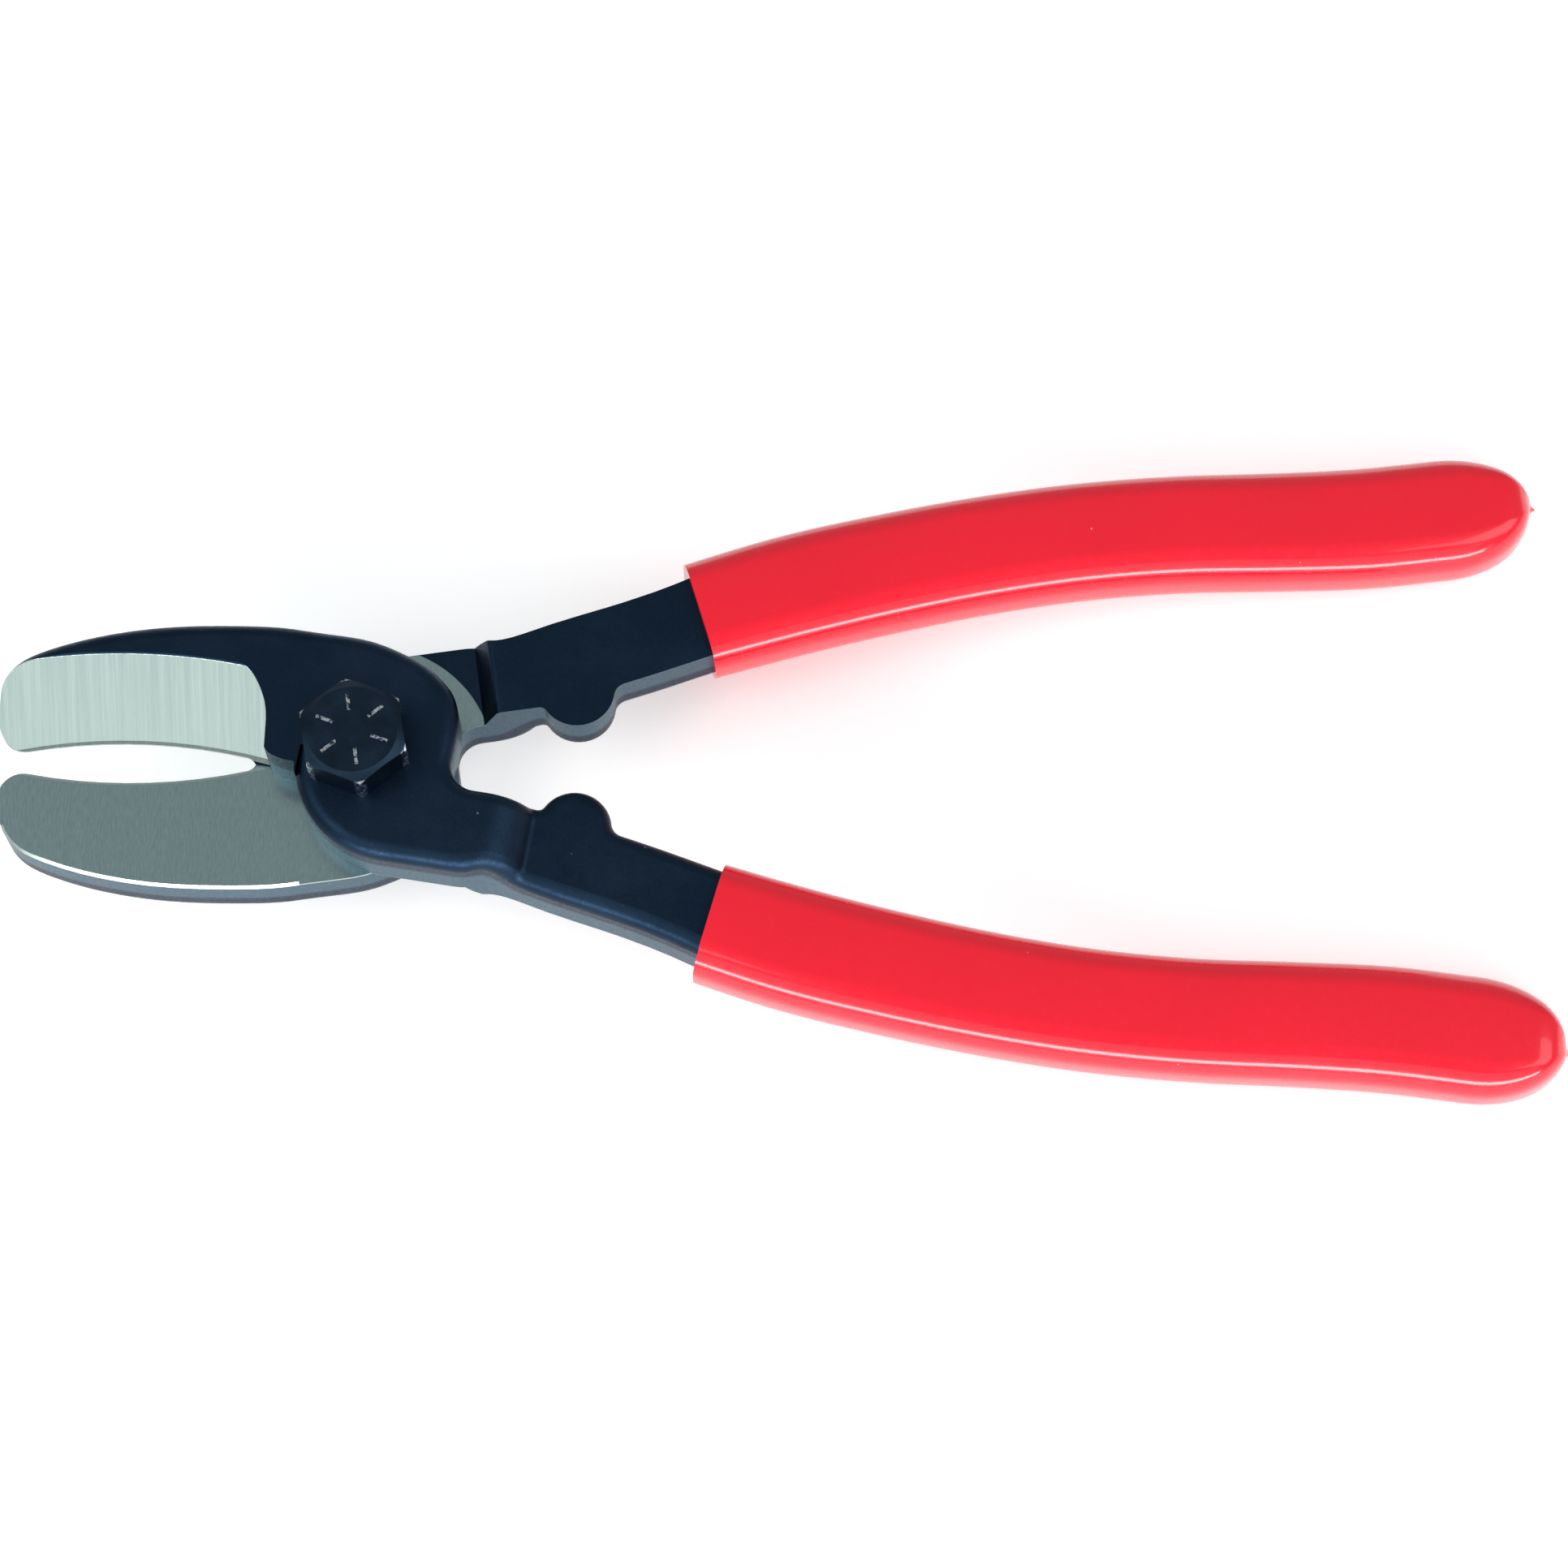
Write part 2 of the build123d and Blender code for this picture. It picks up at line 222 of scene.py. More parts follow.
@dataclass(frozen=True)
class BlackenedForging:
    """Drop-forged tool steel, shot-blasted, hot blackened, then ground on three zones.

    The black oxide is thin and slightly oily: nearly black with a blue cast, semi-matt, with a
    shot-blasted grain. The trimmed parting band on the sides is a little paler. Grinding after
    blackening leaves bare steel on the bevel, on the mating face and on the honed chamfer. The
    chamfer's bright line is partly a painted highlight, and a painted highlight carries that line
    on along the foot of the back wall, where there is no chamfer.
    """

    forging: Forging = Forging()
    black: str = "#1c2c3e"
    black_worn: str = "#25364a"
    parting_band: str = "#46606f"
    bare: str = "#c6d6d0"
    bare_streak: str = "#9db3ae"
    mating: str = "#a6bcbd"
    mating_streak: str = "#8fa8aa"
    # Honed bare steel of the chamfer, also the colour of the painted highlight that runs on past
    # it.
    chamfer: str = "#b2c1bb"
    patch_mm: float = 15.0
    chip_apart_mm: float = 3.6
    grain_mm: float = 0.45
    stroke_mm: float = 0.32
    # The length over which each zone fades at its border, from and to, mm.
    cone_fade: tuple[float, float] = (0.12, 0.2)
    hub_fade: tuple[float, float] = (0.0, 0.1)
    rim_fade: tuple[float, float] = (-0.3, -0.22)
    land_fade: tuple[float, float] = (0.42, 0.46)
    plane_fade: tuple[float, float] = (0.03, 0.07)
    reach_fade: tuple[float, float] = (0.0, 0.15)
    jaw_fade: tuple[float, float] = (-5.0, -4.0)
    chamfer_fade: tuple[float, float] = (0.46, 0.5)
    # Height, reach across and end of the painted highlight strip past the chamfer, mm.
    highlight_height_fade: tuple[float, float] = (0.4, 0.45)
    back_fade: tuple[float, float] = (12.0, 13.0)
    highlight_end_fade: tuple[float, float] = (-1.0, 1.0)
    band_fade: tuple[float, float] = (-0.5, 0.6)
    land_half: float = 0.3
    # How far a surface may face up or down, 0 to 1, and still count as upright.
    upright_fade: tuple[float, float] = (0.12, 0.4)
    # The same measure for the chamfer, which leans at 45 degrees, and its tolerance.
    lean: tuple[float, float] = (0.707, 0.2)

    def build(self, side: Side) -> bpy.types.Material:
        """Make the material for one lever.

        Args:
            side: the lever, which sets how its coordinates are turned to the forging's.

        Returns:
            The material.
        """
        size = self.forging
        material, tree, shader = start_material(f"blackened_forged_steel_{side.value}")
        here = add_node(tree, "ShaderNodeTexCoord")
        place = add_node(
            tree,
            "ShaderNodeMapping",
            inputs={
                "Vector": here.outputs["Object"],
                "Rotation": (0.0, 0.0, math.radians(size.rest_half_angle)),
                "Scale": (TO_MM, TO_MM * side.flip, TO_MM * side.flip),
            },
        )
        axes = add_node(tree, "ShaderNodeSeparateXYZ", inputs={0: place.outputs[0]})
        x, y, z = axes.outputs[0], axes.outputs[1], axes.outputs[2]
        normal = add_node(tree, "ShaderNodeNewGeometry")
        facing = add_node(tree, "ShaderNodeSeparateXYZ", inputs={0: normal.outputs["Normal"]})
        steep = add_node(
            tree, "ShaderNodeMath", {"operation": "ABSOLUTE"}, {0: facing.outputs[2]}
        ).outputs[0]

        masks = self._zones(tree, x, y, z, steep)
        marks = self._marks(tree, place.outputs[0])

        # Bare steel is streaked along the wheel's strokes, and the oxide is worn in patches.
        toned = {}
        for zone, low, high in (
            ("bevel", self.bare_streak, self.bare),
            ("mating", self.mating_streak, self.mating),
            ("patch", self.black, self.black_worn),
        ):
            toned[zone] = add_node(
                tree,
                "ShaderNodeMix",
                {"data_type": "RGBA"},
                {0: marks[zone], 6: linear(low), 7: linear(high)},
            ).outputs[2]
        colour = toned["patch"]
        for mask, layer in (
            (masks["band"], linear(self.parting_band)),
            (marks["chip"], linear(self.bare_streak)),
            (masks["mating"], toned["mating"]),
            (masks["bevel"], toned["bevel"]),
            # The chamfer layer is honed bare steel plus a painted highlight line.
            (masks["chamfer"], linear(self.chamfer)),
        ):
            colour = add_node(
                tree, "ShaderNodeMix", {"data_type": "RGBA"}, {0: mask, 6: colour, 7: layer}
            ).outputs[2]
        tree.links.new(colour, shader.inputs["Base Color"])

        ground = add_node(
            tree,
            "ShaderNodeMath",
            {"operation": "MAXIMUM"},
            {0: masks["mating"], 1: masks["bevel"]},
        ).outputs[0]
        grain_rough = add_node(
            tree,
            "ShaderNodeMapRange",
            inputs={0: marks["grain"], 1: 0.3, 2: 0.7, 3: 0.34, 4: 0.5},
        ).outputs[0]
        stroke_rough = add_node(
            tree,
            "ShaderNodeMapRange",
            inputs={0: marks["bevel"], 1: 0.0, 2: 1.0, 3: 0.24, 4: 0.17},
        ).outputs[0]
        rough = add_node(
            tree,
            "ShaderNodeMix",
            {"data_type": "FLOAT"},
            {0: ground, 2: grain_rough, 3: stroke_rough},
        ).outputs[0]
        tree.links.new(rough, shader.inputs["Roughness"])
        shader.inputs["Metallic"].default_value = 1.0

        stroke_height = add_node(
            tree,
            "ShaderNodeMix",
            {"data_type": "FLOAT"},
            {0: masks["bevel"], 2: marks["mating"], 3: marks["bevel"]},
        ).outputs[0]
        # The ground zones are much smoother than the shot-blasted skin.
        fine_stroke = add_node(
            tree, "ShaderNodeMath", {"operation": "MULTIPLY"}, {0: stroke_height, 1: 0.12}
        ).outputs[0]
        height = add_node(
            tree,
            "ShaderNodeMix",
            {"data_type": "FLOAT"},
            {0: ground, 2: marks["grain"], 3: fine_stroke},
        ).outputs[0]
        bump = add_node(
            tree,
            "ShaderNodeBump",
            inputs={"Strength": 0.55, "Distance": 0.05 * MM, "Height": height},
        )
        tree.links.new(bump.outputs[0], shader.inputs["Normal"])
        return material

    def _zones(
        self,
        tree: bpy.types.NodeTree,
        x: bpy.types.NodeSocket,
        y: bpy.types.NodeSocket,
        z: bpy.types.NodeSocket,
        steep: bpy.types.NodeSocket,
    ) -> dict[str, bpy.types.NodeSocket]:
        """Find each ground or trimmed zone, and the painted highlight line along the chamfer,
        from where it lies on the forging.

        Args:
            tree: the material's node tree.
            x: place along the closed tool, mm.
            y: place across it, mm.
            z: height from the meeting plane, mm.
            steep: how much the surface faces up or down, 0 to 1.

        Returns:
            Masks for the bevel, the mating face, the honed chamfer with its painted highlight line,
            and the parting band, each 0 to 1.
        """
        size = self.forging
        flat = add_node(tree, "ShaderNodeCombineXYZ", inputs={0: x, 1: y}).outputs[0]
        centre = (size.edge_centre[0], size.edge_centre[1], 0.0)
        reach = add_node(
            tree, "ShaderNodeVectorMath", {"operation": "DISTANCE"}, {0: flat, 1: centre}
        ).outputs["Value"]
        slope = size.thick / size.bevel_width
        cone = add_node(
            tree,
            "ShaderNodeMath",
            {"operation": "MULTIPLY_ADD"},
            {0: reach, 1: slope, 2: -size.edge_r * slope},
        ).outputs[0]
        off_cone = add_node(
            tree, "ShaderNodeMath", {"operation": "SUBTRACT"}, {0: z, 1: cone}
        ).outputs[0]
        off_cone = add_node(
            tree, "ShaderNodeMath", {"operation": "ABSOLUTE"}, {0: off_cone}
        ).outputs[0]
        on_cone = add_node(
            tree,
            "ShaderNodeMapRange",
            {"interpolation_type": "SMOOTHSTEP"},
            {0: off_cone, 1: self.cone_fade[0], 2: self.cone_fade[1], 3: 1.0, 4: 0.0},
        ).outputs[0]
        before_hub = add_node(
            tree,
            "ShaderNodeMapRange",
            inputs={
                0: x,
                1: size.bevel_end_x + self.hub_fade[0],
                2: size.bevel_end_x + self.hub_fade[1],
                3: 1.0,
                4: 0.0,
            },
        ).outputs[0]
        # The cone stops at the outside face, and the edge has its own small upright land.
        rim_r = size.edge_r + size.bevel_width
        below_rim = add_node(
            tree,
            "ShaderNodeMapRange",
            inputs={
                0: reach,
                1: rim_r + self.rim_fade[0],
                2: rim_r + self.rim_fade[1],
                3: 1.0,
                4: 0.0,
            },
        ).outputs[0]
        on_bevel = add_node(
            tree, "ShaderNodeMath", {"operation": "MULTIPLY"}, {0: on_cone, 1: below_rim}
        ).outputs[0]
        land = add_node(
            tree,
            "ShaderNodeMath",
            {"operation": "COMPARE"},
            {0: reach, 1: size.edge_r, 2: self.land_half},
        ).outputs[0]
        land_low = add_node(
            tree,
            "ShaderNodeMapRange",
            inputs={0: z, 1: self.land_fade[0], 2: self.land_fade[1], 3: 1.0, 4: 0.0},
        ).outputs[0]
        land = add_node(
            tree, "ShaderNodeMath", {"operation": "MULTIPLY"}, {0: land, 1: land_low}
        ).outputs[0]
        ground_edge = add_node(
            tree, "ShaderNodeMath", {"operation": "MAXIMUM"}, {0: on_bevel, 1: land}
        ).outputs[0]
        bevel = add_node(
            tree, "ShaderNodeMath", {"operation": "MULTIPLY"}, {0: ground_edge, 1: before_hub}
        ).outputs[0]

        # The mating plane is bare out to an arc round the pivot; the jaw is bare all over.
        level = add_node(
            tree, "ShaderNodeMath", {"operation": "SUBTRACT"}, {0: z, 1: size.face_gap}
        ).outputs[0]
        level = add_node(
            tree, "ShaderNodeMath", {"operation": "ABSOLUTE"}, {0: level}
        ).outputs[0]
        on_plane = add_node(
            tree,
            "ShaderNodeMapRange",
            {"interpolation_type": "SMOOTHSTEP"},
            {0: level, 1: self.plane_fade[0], 2: self.plane_fade[1], 3: 1.0, 4: 0.0},
        ).outputs[0]
        from_pivot = add_node(
            tree, "ShaderNodeVectorMath", {"operation": "LENGTH"}, {0: flat}
        ).outputs["Value"]
        inside = add_node(
            tree,
            "ShaderNodeMapRange",
            inputs={
                0: from_pivot,
                1: size.ground_reach + self.reach_fade[0],
                2: size.ground_reach + self.reach_fade[1],
                3: 1.0,
                4: 0.0,
            },
        ).outputs[0]
        on_jaw = add_node(
            tree,
            "ShaderNodeMapRange",
            inputs={0: x, 1: self.jaw_fade[0], 2: self.jaw_fade[1], 3: 1.0, 4: 0.0},
        ).outputs[0]
        bare = add_node(
            tree, "ShaderNodeMath", {"operation": "MAXIMUM"}, {0: inside, 1: on_jaw}
        ).outputs[0]
        mating = add_node(
            tree, "ShaderNodeMath", {"operation": "MULTIPLY"}, {0: on_plane, 1: bare}
        ).outputs[0]

        upright = add_node(
            tree,
            "ShaderNodeMapRange",
            {"interpolation_type": "SMOOTHSTEP"},
            {0: steep, 1: self.upright_fade[0], 2: self.upright_fade[1], 3: 1.0, 4: 0.0},
        ).outputs[0]

        # The honed chamfer leans half way between the plane and the side.
        lean = add_node(
            tree,
            "ShaderNodeMath",
            {"operation": "COMPARE"},
            {0: steep, 1: self.lean[0], 2: self.lean[1]},
        ).outputs[0]
        low = add_node(
            tree,
            "ShaderNodeMapRange",
            inputs={0: z, 1: self.chamfer_fade[0], 2: self.chamfer_fade[1], 3: 1.0, 4: 0.0},
        ).outputs[0]
        edge = add_node(
            tree, "ShaderNodeMath", {"operation": "MULTIPLY"}, {0: lean, 1: low}
        ).outputs[0]
        # The chamfer's bright colour is partly a painted highlight.
        honed_chamfer_and_highlight = add_node(
            tree, "ShaderNodeMath", {"operation": "MULTIPLY"}, {0: edge, 1: on_jaw}
        ).outputs[0]
        # Past the chamfer a painted highlight carries the bright line along the foot of the wall,
        # as far as the other lever's hub.
        corner = add_node(
            tree,
            "ShaderNodeMapRange",
            inputs={0: z, 1: self.highlight_height_fade[0], 2: self.highlight_height_fade[1], 3: 1.0, 4: 0.0},
        ).outputs[0]
        on_back = add_node(
            tree,
            "ShaderNodeMapRange",
            inputs={0: y, 1: self.back_fade[0], 2: self.back_fade[1], 3: 0.0, 4: 1.0},
        ).outputs[0]
        past = add_node(
            tree,
            "ShaderNodeMapRange",
            inputs={0: x, 1: self.highlight_end_fade[0], 2: self.highlight_end_fade[1], 3: 1.0, 4: 0.0},
        ).outputs[0]
        brightened = corner
        for mask in (on_back, past, upright):
            brightened = add_node(
                tree, "ShaderNodeMath", {"operation": "MULTIPLY"}, {0: brightened, 1: mask}
            ).outputs[0]
        chamfer = add_node(
            tree, "ShaderNodeMath", {"operation": "MAXIMUM"}, {0: honed_chamfer_and_highlight, 1: brightened}
        ).outputs[0]

        # Flash trimmed off the sides leaves a paler band from the parting line down.
        parting = add_node(
            tree,
            "ShaderNodeMapRange",
            {"interpolation_type": "SMOOTHSTEP"},
            {0: x, 1: size.shoulder_x, 2: size.crease_x, 3: size.thick / 2, 4: 0.0},
        ).outputs[0]
        below = add_node(
            tree, "ShaderNodeMath", {"operation": "SUBTRACT"}, {0: z, 1: parting}
        ).outputs[0]
        trimmed = add_node(
            tree,
            "ShaderNodeMapRange",
            {"interpolation_type": "SMOOTHSTEP"},
            {0: below, 1: self.band_fade[0], 2: self.band_fade[1], 3: 1.0, 4: 0.0},
        ).outputs[0]
        band = add_node(
            tree, "ShaderNodeMath", {"operation": "MULTIPLY"}, {0: upright, 1: trimmed}
        ).outputs[0]
        return {"bevel": bevel, "mating": mating, "chamfer": chamfer, "band": band}

    def _marks(
        self,
        tree: bpy.types.NodeTree,
        place: bpy.types.NodeSocket,
    ) -> dict[str, bpy.types.NodeSocket]:
        """Make the small patterns: wheel strokes, blasted grain, worn patches and chips.

        Args:
            tree: the material's node tree.
            place: the forging's coordinates, mm.

        Returns:
            Patterns named bevel, mating, grain, patch and chip, each about 0 to 1.
        """
        # The wheel crossed both jaws in straight strokes. Real scratches are a few hundredths
        # apart; they are drawn about eight times coarser so that they show.
        bevel_at = add_node(
            tree,
            "ShaderNodeMapping",
            inputs={
                "Vector": place,
                "Rotation": (0.0, 0.0, -math.radians(self.forging.rest_half_angle)),
            },
        ).outputs[0]
        bevel_at = add_node(
            tree,
            "ShaderNodeVectorMath",
            {"operation": "MULTIPLY"},
            {0: bevel_at, 1: (1 / self.stroke_mm, 0.05, 0.05)},
        ).outputs[0]
        bevel_noise = add_node(
            tree,
            "ShaderNodeTexNoise",
            inputs={"Vector": bevel_at, "Scale": 0.5, "Detail": 6.0, "Roughness": 0.75},
        ).outputs["Fac"]
        bevel = add_node(
            tree, "ShaderNodeMapRange", inputs={0: bevel_noise, 1: 0.3, 2: 0.7, 3: 0.0, 4: 1.0}
        ).outputs[0]
        mating_at = add_node(
            tree,
            "ShaderNodeVectorMath",
            {"operation": "MULTIPLY"},
            {0: bevel_at, 1: (1.3, 12.0, 1.0)},
        ).outputs[0]
        mating_noise = add_node(
            tree,
            "ShaderNodeTexNoise",
            inputs={"Vector": mating_at, "Scale": 1.0, "Detail": 4.0, "Roughness": 0.7},
        ).outputs["Fac"]
        mating = add_node(
            tree, "ShaderNodeMapRange", inputs={0: mating_noise, 1: 0.28, 2: 0.72, 3: 0.0, 4: 1.0}
        ).outputs[0]

        # Shot-blasted grain.
        grain = add_node(
            tree,
            "ShaderNodeTexNoise",
            inputs={"Vector": place, "Scale": 1 / self.grain_mm, "Detail": 3.0, "Roughness": 0.6},
        ).outputs["Fac"]
        # Handling wears the oxide in large, faint patches.
        patch_noise = add_node(
            tree,
            "ShaderNodeTexNoise",
            inputs={"Vector": place, "Scale": 1 / self.patch_mm, "Detail": 5.0, "Roughness": 0.6},
        ).outputs["Fac"]
        patch = add_node(
            tree, "ShaderNodeMapRange", inputs={0: patch_noise, 1: 0.45, 2: 0.75, 3: 0.0, 4: 1.0}
        ).outputs[0]
        # A few chips, about a quarter of a millimetre across, one or two in each square centimetre.
        cells = add_node(
            tree,
            "ShaderNodeTexVoronoi",
            inputs={"Vector": place, "Scale": 1 / self.chip_apart_mm},
        ).outputs["Distance"]
        spot = add_node(
            tree, "ShaderNodeMapRange", inputs={0: cells, 1: 0.03, 2: 0.05, 3: 1.0, 4: 0.0}
        ).outputs[0]
        few = add_node(
            tree, "ShaderNodeMapRange", inputs={0: patch_noise, 1: 0.5, 2: 0.56, 3: 0.0, 4: 0.8}
        ).outputs[0]
        chip = add_node(
            tree, "ShaderNodeMath", {"operation": "MULTIPLY"}, {0: spot, 1: few}
        ).outputs[0]
        return {"bevel": bevel, "mating": mating, "grain": grain, "patch": patch, "chip": chip}


@dataclass(frozen=True)
class DippedVinyl:
    """Plasticised PVC, dipped hot over the tang and cured: glossy, saturated, a little soft.

    The dip levels itself, so the gloss is wet-looking with a very slow ripple, a faint orange
    peel, and a few dust specks caught under the skin.
    """

    red: str = "#ec0026"
    red_deep: str = "#e40023"
    dust: str = "#ff9aa2"
    ripple_mm: float = 14.0
    peel_mm: float = 1.4
    dust_apart_mm: float = 6.5

    def build(self) -> bpy.types.Material:
        """Make the material.

        Returns:
            The material.
        """
        material, tree, shader = start_material("dipped_red_vinyl")
        here = add_node(tree, "ShaderNodeTexCoord")
        place = add_node(
            tree,
            "ShaderNodeMapping",
            inputs={"Vector": here.outputs["Object"], "Scale": (TO_MM, TO_MM, TO_MM)},
        ).outputs[0]
        ripple = add_node(
            tree,
            "ShaderNodeTexNoise",
            inputs={"Vector": place, "Scale": 1 / self.ripple_mm, "Detail": 0.0},
        ).outputs["Fac"]
        peel = add_node(
            tree,
            "ShaderNodeTexNoise",
            inputs={"Vector": place, "Scale": 1 / self.peel_mm, "Detail": 1.0},
        ).outputs["Fac"]
        base = add_node(
            tree,
            "ShaderNodeMix",
            {"data_type": "RGBA"},
            {0: ripple, 6: linear(self.red_deep), 7: linear(self.red)},
        ).outputs[2]
        # Dust specks, some 0.2 mm across, one in each square centimetre or so.
        cells = add_node(
            tree,
            "ShaderNodeTexVoronoi",
            inputs={"Vector": place, "Scale": 1 / self.dust_apart_mm},
        )
        speck = add_node(
            tree,
            "ShaderNodeMapRange",
            inputs={0: cells.outputs["Distance"], 1: 0.018, 2: 0.03, 3: 0.75, 4: 0.0},
        ).outputs[0]
        colour = add_node(
            tree,
            "ShaderNodeMix",
            {"data_type": "RGBA"},
            {0: speck, 6: base, 7: linear(self.dust)},
        ).outputs[2]
        tree.links.new(colour, shader.inputs["Base Color"])
        rough = add_node(
            tree, "ShaderNodeMapRange", inputs={0: peel, 1: 0.3, 2: 0.7, 3: 0.22, 4: 0.28}
        ).outputs[0]
        tree.links.new(rough, shader.inputs["Roughness"])
        shader.inputs["IOR"].default_value = 1.45
        shader.inputs["Coat Weight"].default_value = 0.6
        shader.inputs["Coat Roughness"].default_value = 0.05
        shader.inputs["Subsurface Weight"].default_value = 0.08
        shader.inputs["Subsurface Radius"].default_value = (1.2 * MM, 0.25 * MM, 0.2 * MM)
        shader.inputs["Subsurface Scale"].default_value = 1.0
        waves = add_node(
            tree,
            "ShaderNodeBump",
            inputs={"Strength": 0.4, "Distance": 0.2 * MM, "Height": ripple},
        ).outputs[0]
        skin = add_node(
            tree,
            "ShaderNodeBump",
            inputs={"Strength": 0.12, "Distance": 0.004 * MM, "Height": peel, "Normal": waves},
        ).outputs[0]
        lumps = add_node(
            tree,
            "ShaderNodeBump",
            inputs={"Strength": 0.6, "Distance": 0.05 * MM, "Height": speck, "Normal": skin},
        ).outputs[0]
        tree.links.new(lumps, shader.inputs["Normal"])
        return material


@dataclass(frozen=True)
class BlackenedHardware:
    """Turned or headed alloy steel, hot blackened, its raised corners rubbed bright.

    Bolt heads are cold-headed, so the oxide lies over a smooth skin with small dents. Metal
    shows where a spanner or the other part rubs: above a level, or beyond a radius.
    """

    name: str
    black: str
    bright: str = "#c3ccd2"
    rub_above: float = 1000.0
    rub_beyond: float = 1000.0
    rough: float = 0.34
    grain_mm: float = 0.6
    stain_mm: float = 4.5

    def build(self) -> bpy.types.Material:
        """Make the material.

        Returns:
            The material.
        """
        material, tree, shader = start_material(self.name)
        here = add_node(tree, "ShaderNodeTexCoord")
        place = add_node(
            tree,
            "ShaderNodeMapping",
            inputs={"Vector": here.outputs["Object"], "Scale": (TO_MM, TO_MM, TO_MM)},
        ).outputs[0]
        axes = add_node(tree, "ShaderNodeSeparateXYZ", inputs={0: place})
        flat = add_node(
            tree, "ShaderNodeCombineXYZ", inputs={0: axes.outputs[0], 1: axes.outputs[1]}
        ).outputs[0]
        reach = add_node(
            tree, "ShaderNodeVectorMath", {"operation": "LENGTH"}, {0: flat}
        ).outputs["Value"]
        above = add_node(
            tree,
            "ShaderNodeMapRange",
            inputs={
                0: axes.outputs[2],
                1: self.rub_above,
                2: self.rub_above + 0.05,
                3: 0.0,
                4: 1.0,
            },
        ).outputs[0]
        beyond = add_node(
            tree,
            "ShaderNodeMapRange",
            inputs={0: reach, 1: self.rub_beyond, 2: self.rub_beyond + 0.2, 3: 0.0, 4: 1.0},
        ).outputs[0]
        either = add_node(
            tree, "ShaderNodeMath", {"operation": "MAXIMUM"}, {0: above, 1: beyond}
        ).outputs[0]
        grain = add_node(
            tree,
            "ShaderNodeTexNoise",
            inputs={"Vector": place, "Scale": 1 / self.grain_mm, "Detail": 4.0, "Roughness": 0.65},
        ).outputs["Fac"]
        brightened = add_node(
            tree, "ShaderNodeMapRange", inputs={0: grain, 1: 0.44, 2: 0.56, 3: 0.0, 4: 0.95}
        ).outputs[0]
        worn = add_node(
            tree, "ShaderNodeMath", {"operation": "MULTIPLY"}, {0: either, 1: brightened}
        ).outputs[0]
        stain = add_node(
            tree,
            "ShaderNodeTexNoise",
            inputs={"Vector": place, "Scale": 1 / self.stain_mm, "Detail": 3.0},
        ).outputs["Fac"]
        tone = add_node(
            tree, "ShaderNodeMapRange", inputs={0: stain, 1: 0.35, 2: 0.7, 3: 0.78, 4: 1.2}
        ).outputs[0]
        oxide = add_node(
            tree,
            "ShaderNodeVectorMath",
            {"operation": "SCALE"},
            {0: linear(self.black)[:3], "Scale": tone},
        ).outputs[0]
        colour = add_node(
            tree,
            "ShaderNodeMix",
            {"data_type": "RGBA"},
            {0: worn, 6: oxide, 7: linear(self.bright)},
        ).outputs[2]
        tree.links.new(colour, shader.inputs["Base Color"])
        shader.inputs["Metallic"].default_value = 1.0
        rough = add_node(
            tree,
            "ShaderNodeMapRange",
            inputs={0: stain, 1: 0.3, 2: 0.7, 3: self.rough - 0.06, 4: self.rough + 0.08},
        ).outputs[0]
        tree.links.new(rough, shader.inputs["Roughness"])
        bump = add_node(
            tree,
            "ShaderNodeBump",
            inputs={"Strength": 0.5, "Distance": 0.06 * MM, "Height": grain},
        )
        tree.links.new(bump.outputs[0], shader.inputs["Normal"])
        return material


@dataclass(frozen=True)
class MouldedNylon:
    """Natural nylon 6/6, moulded: milky, slightly waxy, with a faint flow mottle."""

    pale: str = "#d9d6c4"
    deep: str = "#bdb9a4"
    flow_mm: float = 1.8

    def build(self) -> bpy.types.Material:
        """Make the material.

        Returns:
            The material.
        """
        material, tree, shader = start_material("moulded_nylon")
        here = add_node(tree, "ShaderNodeTexCoord")
        flow = add_node(
            tree,
            "ShaderNodeTexNoise",
            inputs={
                "Vector": here.outputs["Object"],
                "Scale": 1 / (self.flow_mm * MM),
                "Detail": 3.0,
            },
        ).outputs["Fac"]
        colour = add_node(
            tree,
            "ShaderNodeMix",
            {"data_type": "RGBA"},
            {0: flow, 6: linear(self.pale), 7: linear(self.deep)},
        ).outputs[2]
        tree.links.new(colour, shader.inputs["Base Color"])
        rough = add_node(
            tree, "ShaderNodeMapRange", inputs={0: flow, 1: 0.3, 2: 0.7, 3: 0.4, 4: 0.55}
        ).outputs[0]
        tree.links.new(rough, shader.inputs["Roughness"])
        bump = add_node(
            tree,
            "ShaderNodeBump",
            inputs={"Strength": 0.3, "Distance": 0.03 * MM, "Height": flow},
        )
        tree.links.new(bump.outputs[0], shader.inputs["Normal"])
        return material


@dataclass(frozen=True)
class MattPaper:
    """White paper on a light table: matt, very even, with a barely visible tooth.

    The table's own low light keeps the shadows pale.
    """

    white: str = "#fbfbfb"
    glow: float = 0.3

    def build(self) -> bpy.types.Material:
        """Make the material.

        Returns:
            The material.
        """
        material, tree, shader = start_material("matt_white_paper")
        here = add_node(tree, "ShaderNodeTexCoord")
        tooth = add_node(
            tree,
            "ShaderNodeTexNoise",
            inputs={"Vector": here.outputs["Object"], "Scale": 900.0, "Detail": 2.0},
        ).outputs["Fac"]
        rough = add_node(
            tree, "ShaderNodeMapRange", inputs={0: tooth, 1: 0.3, 2: 0.7, 3: 0.88, 4: 0.96}
        ).outputs[0]
        shader.inputs["Base Color"].default_value = linear(self.white)
        tree.links.new(rough, shader.inputs["Roughness"])
        shader.inputs["Specular IOR Level"].default_value = 0.1
        shader.inputs["Emission Color"].default_value = linear(self.white)
        shader.inputs["Emission Strength"].default_value = self.glow
        return material


# --- sub-assemblies -----------------------------------------------------------------


